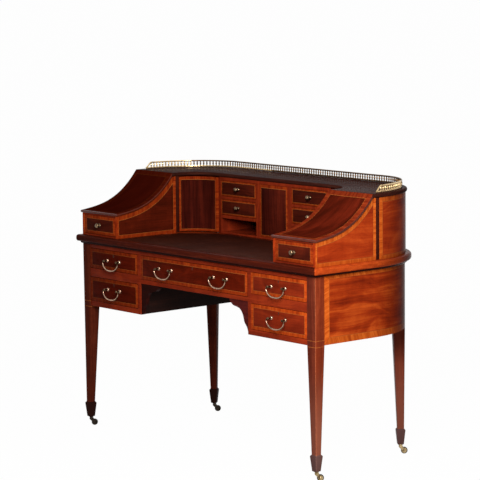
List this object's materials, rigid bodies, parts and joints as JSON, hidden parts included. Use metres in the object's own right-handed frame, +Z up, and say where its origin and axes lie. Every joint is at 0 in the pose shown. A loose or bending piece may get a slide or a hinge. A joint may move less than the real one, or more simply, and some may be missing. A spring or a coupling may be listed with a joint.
{
  "type": "carlton house desk",
  "caption": "Bow-backed mahogany writing desk with swept side boxes, a ring of small drawers and cupboards, a pierced brass gallery, and tapering legs on castors.",
  "frame": {"origin": "on the floor under the middle of the desk's bounding box", "axes": "+X along the front towards the sitter's right, +Y from the front towards the bowed back, +Z up"},
  "size_m": [1.408, 0.648, 1.031],
  "materials": {
    "mahogany": "dark polished mahogany",
    "figured_mahogany": "figured polished veneer",
    "drawer_mahogany": "polished veneer with lighter crossbanding",
    "door_mahogany": "dark polished veneer",
    "leather": "dark brown, matt",
    "brass": "polished, lightly tarnished"
  },
  "bodies": {
    "case": {"desk_top": "mahogany", "writing_leather": "leather", "leg_front_left": "mahogany", "leg_front_right": "mahogany", "leg_rear_left": "mahogany", "leg_rear_right": "mahogany", "front_frame": "mahogany", "end_panel_left": "figured_mahogany", "end_panel_right": "figured_mahogany", "back_panel": "figured_mahogany", "pedestal_left": "mahogany", "pedestal_right": "mahogany", "centre_board": "mahogany", "side_box_left": "figured_mahogany", "side_box_right": "figured_mahogany", "lid_left": "mahogany", "lid_right": "mahogany", "curved_back": "figured_mahogany", "rear_range": "mahogany", "gallery_shelf": "mahogany", "gallery": "brass"},
    "drawer_lower_left": {"drawer_lower_left": "drawer_mahogany"},
    "drawer_lower_right": {"drawer_lower_right": "drawer_mahogany"},
    "drawer_upper_left": {"drawer_upper_left": "drawer_mahogany"},
    "drawer_upper_right": {"drawer_upper_right": "drawer_mahogany"},
    "drawer_centre": {"drawer_centre": "drawer_mahogany"},
    "box_drawer_left": {"box_drawer_left": "drawer_mahogany", "knob_box_left": "brass"},
    "box_drawer_right": {"box_drawer_right": "drawer_mahogany", "knob_box_right": "brass"},
    "small_drawer_lower_left": {"small_drawer_lower_left": "drawer_mahogany", "knob_lower_left": "brass"},
    "small_drawer_lower_right": {"small_drawer_lower_right": "drawer_mahogany", "knob_lower_right": "brass"},
    "small_drawer_upper_left": {"small_drawer_upper_left": "drawer_mahogany", "knob_upper_left": "brass"},
    "small_drawer_upper_right": {"small_drawer_upper_right": "drawer_mahogany", "knob_upper_right": "brass"},
    "bail_upper_left": {"handle_bail_upper_left": "brass"},
    "bail_upper_right": {"handle_bail_upper_right": "brass"},
    "bail_lower_left": {"handle_bail_lower_left": "brass"},
    "bail_lower_right": {"handle_bail_lower_right": "brass"},
    "bail_centre_left": {"handle_bail_centre_left": "brass"},
    "bail_centre_right": {"handle_bail_centre_right": "brass"},
    "door_centre": {"door_centre": "door_mahogany"},
    "door_corner_left": {"door_corner_left": "door_mahogany"},
    "door_corner_right": {"door_corner_right": "door_mahogany"},
    "castor_front_left": {"castor_fork_front_left": "brass"},
    "wheel_front_left": {"castor_wheel_front_left": "brass"},
    "castor_rear_left": {"castor_fork_rear_left": "brass"},
    "wheel_rear_left": {"castor_wheel_rear_left": "brass"},
    "castor_front_right": {"castor_fork_front_right": "brass"},
    "wheel_front_right": {"castor_wheel_front_right": "brass"},
    "castor_rear_right": {"castor_fork_rear_right": "brass"},
    "wheel_rear_right": {"castor_wheel_rear_right": "brass"}
  },
  "joints": [
    {"name": "drawer_lower_left_slide", "type": "slide", "parent": "case", "child": "drawer_lower_left", "axis": [0, -1, 0], "range_m": [0, 0.28]},
    {"name": "drawer_lower_right_slide", "type": "slide", "parent": "case", "child": "drawer_lower_right", "axis": [0, -1, 0], "range_m": [0, 0.28]},
    {"name": "drawer_upper_left_slide", "type": "slide", "parent": "case", "child": "drawer_upper_left", "axis": [0, -1, 0], "range_m": [0, 0.28]},
    {"name": "drawer_upper_right_slide", "type": "slide", "parent": "case", "child": "drawer_upper_right", "axis": [0, -1, 0], "range_m": [0, 0.28]},
    {"name": "drawer_centre_slide", "type": "slide", "parent": "case", "child": "drawer_centre", "axis": [0, -1, 0], "range_m": [0, 0.28]},
    {"name": "box_drawer_left_slide", "type": "slide", "parent": "case", "child": "box_drawer_left", "axis": [0, -1, 0], "range_m": [0, 0.18]},
    {"name": "box_drawer_right_slide", "type": "slide", "parent": "case", "child": "box_drawer_right", "axis": [0, -1, 0], "range_m": [0, 0.18]},
    {"name": "small_drawer_lower_left_slide", "type": "slide", "parent": "case", "child": "small_drawer_lower_left", "axis": [0, -1, 0], "range_m": [0, 0.1]},
    {"name": "small_drawer_lower_right_slide", "type": "slide", "parent": "case", "child": "small_drawer_lower_right", "axis": [0, -1, 0], "range_m": [0, 0.1]},
    {"name": "small_drawer_upper_left_slide", "type": "slide", "parent": "case", "child": "small_drawer_upper_left", "axis": [0, -1, 0], "range_m": [0, 0.1]},
    {"name": "small_drawer_upper_right_slide", "type": "slide", "parent": "case", "child": "small_drawer_upper_right", "axis": [0, -1, 0], "range_m": [0, 0.1]},
    {"name": "bail_upper_left_hinge", "type": "hinge", "parent": "drawer_upper_left", "child": "bail_upper_left", "pos_m": [-0.48525, -0.3175, 0.6755], "axis": [-1, 0, 0], "range_deg": [0, 90]},
    {"name": "bail_upper_right_hinge", "type": "hinge", "parent": "drawer_upper_right", "child": "bail_upper_right", "pos_m": [0.48525, -0.3175, 0.6755], "axis": [-1, 0, 0], "range_deg": [0, 90]},
    {"name": "bail_lower_left_hinge", "type": "hinge", "parent": "drawer_lower_left", "child": "bail_lower_left", "pos_m": [-0.48525, -0.3175, 0.5615], "axis": [-1, 0, 0], "range_deg": [0, 90]},
    {"name": "bail_lower_right_hinge", "type": "hinge", "parent": "drawer_lower_right", "child": "bail_lower_right", "pos_m": [0.48525, -0.3175, 0.5615], "axis": [-1, 0, 0], "range_deg": [0, 90]},
    {"name": "bail_centre_left_hinge", "type": "hinge", "parent": "drawer_centre", "child": "bail_centre_left", "pos_m": [-0.162, -0.3175, 0.6755], "axis": [-1, 0, 0], "range_deg": [0, 90]},
    {"name": "bail_centre_right_hinge", "type": "hinge", "parent": "drawer_centre", "child": "bail_centre_right", "pos_m": [0.162, -0.3175, 0.6755], "axis": [-1, 0, 0], "range_deg": [0, 90]},
    {"name": "door_centre_hinge", "type": "hinge", "parent": "case", "child": "door_centre", "pos_m": [-0.08, 0.103, 0.874], "axis": [0, 0, -1], "range_deg": [0, 90]},
    {"name": "door_corner_left_hinge", "type": "hinge", "parent": "case", "child": "door_corner_left", "pos_m": [-0.458, 0.0088, 0.877], "axis": [0, 0, -1], "range_deg": [0, 90]},
    {"name": "door_corner_right_hinge", "type": "hinge", "parent": "case", "child": "door_corner_right", "pos_m": [0.458, 0.0088, 0.877], "axis": [0, 0, 1], "range_deg": [0, 90]},
    {"name": "castor_front_left_swivel", "type": "hinge", "parent": "case", "child": "castor_front_left", "pos_m": [-0.66735, -0.28735, 0.0357], "axis": [0, 0, 1], "continuous": true},
    {"name": "wheel_front_left_spin", "type": "hinge", "parent": "castor_front_left", "child": "wheel_front_left", "pos_m": [-0.65835, -0.27663, 0.0125], "axis": [-0.766, 0.6428, 0], "continuous": true},
    {"name": "castor_rear_left_swivel", "type": "hinge", "parent": "case", "child": "castor_rear_left", "pos_m": [-0.54389, 0.24687, 0.0357], "axis": [0, 0, 1], "continuous": true},
    {"name": "wheel_rear_left_spin", "type": "hinge", "parent": "castor_rear_left", "child": "wheel_rear_left", "pos_m": [-0.53489, 0.2576, 0.0125], "axis": [-0.766, 0.6428, 0], "continuous": true},
    {"name": "castor_front_right_swivel", "type": "hinge", "parent": "case", "child": "castor_front_right", "pos_m": [0.66735, -0.28735, 0.0357], "axis": [0, 0, 1], "continuous": true},
    {"name": "wheel_front_right_spin", "type": "hinge", "parent": "castor_front_right", "child": "wheel_front_right", "pos_m": [0.67635, -0.27663, 0.0125], "axis": [-0.766, 0.6428, 0], "continuous": true},
    {"name": "castor_rear_right_swivel", "type": "hinge", "parent": "case", "child": "castor_rear_right", "pos_m": [0.54389, 0.24687, 0.0357], "axis": [0, 0, 1], "continuous": true},
    {"name": "wheel_rear_right_spin", "type": "hinge", "parent": "castor_rear_right", "child": "wheel_rear_right", "pos_m": [0.55289, 0.2576, 0.0125], "axis": [-0.766, 0.6428, 0], "continuous": true}
  ]
}
